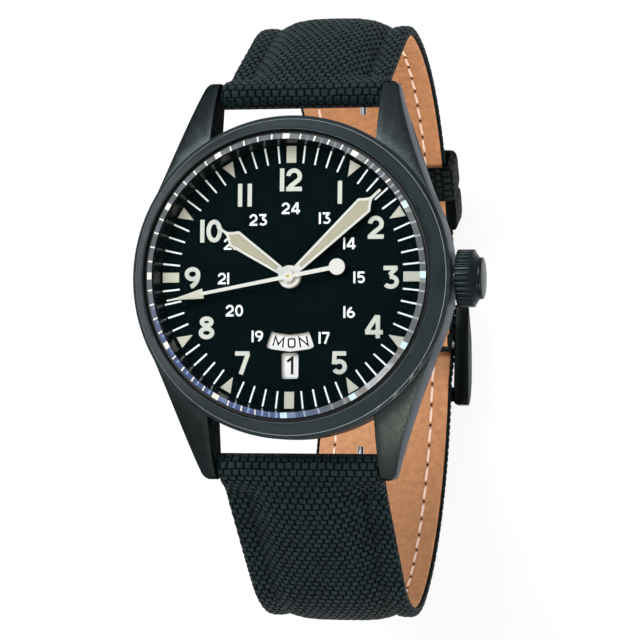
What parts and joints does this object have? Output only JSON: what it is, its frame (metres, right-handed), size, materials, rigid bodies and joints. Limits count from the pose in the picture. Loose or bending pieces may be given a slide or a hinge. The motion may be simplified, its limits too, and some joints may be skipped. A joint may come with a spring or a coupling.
{
  "type": "wristwatch",
  "caption": "Round field watch with a date and day dial, a fluted crown and a padded fabric strap closed by a pin buckle.",
  "frame": {"origin": "centre of the case back, on its outer face", "axes": "+Z out through the crystal, +Y towards 12 o'clock, +X towards the crown"},
  "size_m": [0.0457, 0.0832, 0.0769],
  "materials": {
    "case": "blasted steel with a dark coating",
    "bezel": "satin steel with a dark coating",
    "crown": "satin steel with a dark coating",
    "case_back": "circular satin with a dark coating",
    "crystal": "polished, clear",
    "gasket": "matte",
    "flange": "satin black",
    "dial": "matte black, printed and filled",
    "holder": "moulded",
    "plate": "nickel plated, frosted",
    "bridge": "nickel plated, brushed",
    "rotor": "brushed",
    "steel": "fine ground",
    "blued_steel": "blued",
    "ruby": "polished ruby",
    "brass": "gilt",
    "balance": "gilt, polished",
    "calendar": "silvery white",
    "hands": "bright plated, light fill",
    "spring_bars": "turned",
    "buckle": "satin black coating",
    "strap_fabric": "basket weave",
    "keepers": "basket weave",
    "strap_leather": "smooth calf with fine creases"
  },
  "bodies": {
    "case": {"case_body": "case", "bezel": "bezel", "crystal": "crystal", "crystal_gasket": "gasket", "flange_ring": "flange", "dial": "dial", "case_back": "case_back", "case_back_gasket": "gasket", "movement_holder": "holder", "crown_tube": "steel", "mainplate": "plate", "calendar_plate": "plate", "train_bridge": "bridge", "balance_cock": "bridge", "bridge_screws": "blued_steel", "jewels": "ruby", "rotor_bearing": "steel", "pallet_bridge": "bridge", "spring_bar_12": "spring_bars", "spring_bar_6": "spring_bars", "strap_12": "strap_fabric", "lining_12": "strap_leather", "strap_6": "strap_fabric", "lining_6": "strap_leather", "fixed_keeper": "keepers", "buckle_bar": "spring_bars"},
    "rotor": {"rotor": "rotor"},
    "barrel": {"barrel": "brass", "mainspring": "steel"},
    "centre_wheel": {"centre_wheel": "brass"},
    "third_wheel": {"third_wheel": "brass"},
    "fourth_wheel": {"fourth_wheel": "brass", "second_hand": "hands"},
    "escape_wheel": {"escape_wheel": "steel"},
    "pallet_fork": {"pallet_fork": "steel"},
    "balance": {"balance_wheel": "balance", "hairspring": "blued_steel"},
    "minute_group": {"cannon_pinion": "brass", "minute_hand": "hands"},
    "minute_wheel": {"minute_wheel": "brass"},
    "hour_group": {"hour_wheel": "brass", "hour_hand": "hands"},
    "date_ring": {"date_ring": "calendar"},
    "day_disc": {"day_disc": "calendar"},
    "crown": {"winding_stem": "steel", "crown": "crown", "crown_gasket": "gasket"},
    "winding_pinion": {"sliding_pinion": "steel"},
    "quick_release_12": {"quick_release_12": "steel"},
    "quick_release_6": {"quick_release_6": "steel"},
    "free_keeper": {"free_keeper": "keepers"},
    "buckle": {"buckle_frame": "buckle"},
    "tongue": {"buckle_tongue": "buckle"}
  },
  "joints": [
    {"name": "seconds_spin", "type": "hinge", "parent": "case", "child": "fourth_wheel", "pos_m": [0, 0, 0.0046], "axis": [0, 0, -1], "continuous": true},
    {"name": "third_wheel_spin", "type": "hinge", "parent": "case", "child": "third_wheel", "pos_m": [0.0023, -0.00398, 0.0046], "axis": [0, 0, -1], "continuous": true},
    {"name": "centre_wheel_spin", "type": "hinge", "parent": "case", "child": "centre_wheel", "pos_m": [0, 0, 0.0046], "axis": [0, 0, -1], "continuous": true},
    {"name": "barrel_spin", "type": "hinge", "parent": "case", "child": "barrel", "pos_m": [0.00255, 0.0063, 0.0046], "axis": [0, 0, -1], "continuous": true},
    {"name": "escape_spin", "type": "hinge", "parent": "case", "child": "escape_wheel", "pos_m": [-0.00444, -0.00119, 0.0046], "axis": [0, 0, -1], "continuous": true},
    {"name": "minute_spin", "type": "hinge", "parent": "case", "child": "minute_group", "pos_m": [0, 0, 0.0046], "axis": [0, 0, -1], "continuous": true},
    {"name": "minute_wheel_spin", "type": "hinge", "parent": "case", "child": "minute_wheel", "pos_m": [0, 0.0036, 0.0046], "axis": [0, 0, -1], "continuous": true},
    {"name": "hour_spin", "type": "hinge", "parent": "case", "child": "hour_group", "pos_m": [0, 0, 0.0046], "axis": [0, 0, -1], "continuous": true},
    {"name": "pallet_swing", "type": "hinge", "parent": "case", "child": "pallet_fork", "pos_m": [-0.00724, -0.00194, 0.0046], "axis": [0, 0, 1], "range_deg": [-5, 5]},
    {"name": "balance_swing", "type": "hinge", "parent": "case", "child": "balance", "pos_m": [-0.00898, -0.00241, 0.0046], "axis": [0, 0, 1], "range_deg": [-270, 270], "stiffness_Nm_per_rad": 0.000001},
    {"name": "date_spin", "type": "hinge", "parent": "case", "child": "date_ring", "pos_m": [0, 0, 0.0046], "axis": [0, 0, 1], "continuous": true},
    {"name": "day_spin", "type": "hinge", "parent": "case", "child": "day_disc", "pos_m": [0, 0, 0.0046], "axis": [0, 0, 1], "continuous": true},
    {"name": "rotor_spin", "type": "hinge", "parent": "case", "child": "rotor", "pos_m": [0, 0, 0.002], "axis": [0, 0, 1], "continuous": true},
    {"name": "crown_turn", "type": "hinge", "parent": "case", "child": "winding_pinion", "pos_m": [0, 0, 0.0045], "axis": [1, 0, 0], "continuous": true},
    {"name": "crown_pull", "type": "slide", "parent": "winding_pinion", "child": "crown", "axis": [1, 0, 0], "range_m": [0, 0.0016]},
    {"name": "quick_release_slide_12", "type": "slide", "parent": "case", "child": "quick_release_12", "axis": [-1, 0, 0], "range_m": [0, 0.0012], "stiffness_N_per_m": 600, "springref_m": -0.0006},
    {"name": "quick_release_slide_6", "type": "slide", "parent": "case", "child": "quick_release_6", "axis": [-1, 0, 0], "range_m": [0, 0.0012], "stiffness_N_per_m": 600, "springref_m": -0.0006},
    {"name": "buckle_swing", "type": "hinge", "parent": "case", "child": "buckle", "pos_m": [0, -0.00554, -0.0607], "axis": [1, 0, 0], "range_deg": [0, 3]},
    {"name": "tongue_swing", "type": "hinge", "parent": "buckle", "child": "tongue", "pos_m": [0, -0.00554, -0.0607], "axis": [1, 0, 0], "range_deg": [0, 5]},
    {"name": "free_keeper_slide", "type": "hinge", "parent": "case", "child": "free_keeper", "pos_m": [0, -0.00247, -0.0215], "axis": [1, 0, 0], "range_deg": [0, 12]}
  ],
  "couplings": [
    {"joint": "third_wheel_spin", "follows": "seconds_spin", "ratio": -0.13333},
    {"joint": "centre_wheel_spin", "follows": "seconds_spin", "ratio": 0.016667},
    {"joint": "barrel_spin", "follows": "seconds_spin", "ratio": -0.0020833},
    {"joint": "escape_spin", "follows": "seconds_spin", "ratio": -10},
    {"joint": "minute_wheel_spin", "follows": "minute_spin", "ratio": -0.33333},
    {"joint": "hour_spin", "follows": "minute_spin", "ratio": 0.083333}
  ]
}
